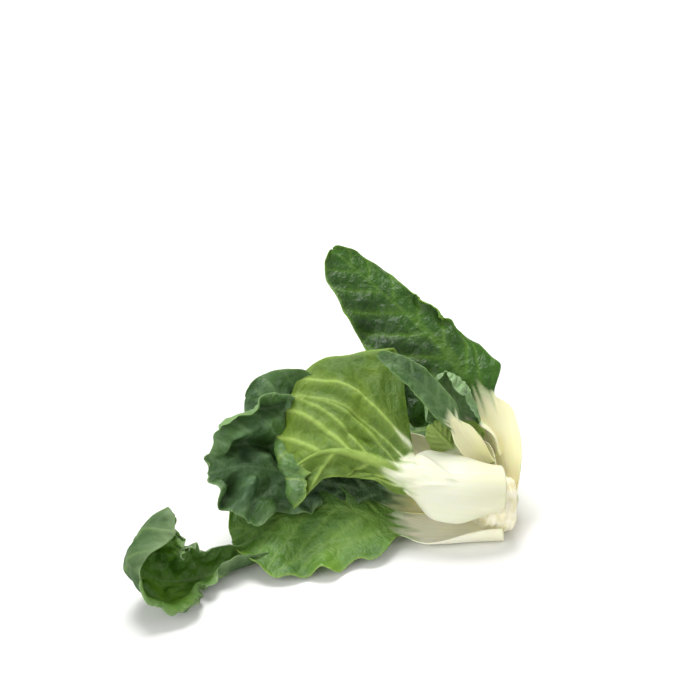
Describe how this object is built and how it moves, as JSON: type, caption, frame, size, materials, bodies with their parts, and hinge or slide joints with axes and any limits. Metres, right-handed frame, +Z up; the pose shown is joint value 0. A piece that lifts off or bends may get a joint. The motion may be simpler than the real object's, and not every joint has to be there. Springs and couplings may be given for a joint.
{
  "type": "bok choy",
  "caption": "Head of white-stemmed bok choy lying on its side, with broad white stalks and dark green, waved and crinkled leaves fanned out from a short cut crown.",
  "frame": {"origin": "on the table, under the middle of the head's outer box", "axes": "+Z up from the table, +X from the leaf tips towards the cut crown, +Y towards the far, hidden side of the head"},
  "size_m": [0.1874, 0.1796, 0.1038],
  "materials": {
    "crown": "moist, satin, cream",
    "stalk": "smooth, waxy, slightly translucent white with faint lengthwise fibres",
    "blade": "waxy green, satin, with pale net veins",
    "heart_blade": "tender yellow-green, satin"
  },
  "bodies": {
    "root": {"crown": "crown", "front_leaf_stalk": "stalk", "front_leaf_blade": "blade", "far_leaf_stalk": "stalk", "far_leaf_blade": "blade", "table_leaf_stalk": "stalk", "table_leaf_blade": "blade", "heart_leaf_a_stalk": "stalk", "heart_leaf_a_blade": "heart_blade", "heart_leaf_b_stalk": "stalk", "heart_leaf_b_blade": "heart_blade", "curled_leaf_stalk": "stalk", "curled_leaf_blade": "blade", "strip_leaf_stalk": "stalk", "strip_leaf_blade": "blade", "tall_leaf_stalk": "stalk", "tall_leaf_blade": "blade", "crinkled_leaf_stalk": "stalk", "crinkled_leaf_blade": "blade", "long_leaf_stalk": "stalk", "long_leaf_blade": "blade", "side_leaf_stalk": "stalk", "side_leaf_blade": "blade", "back_leaf_stalk": "stalk", "back_leaf_blade": "blade"}
  },
  "joints": []
}
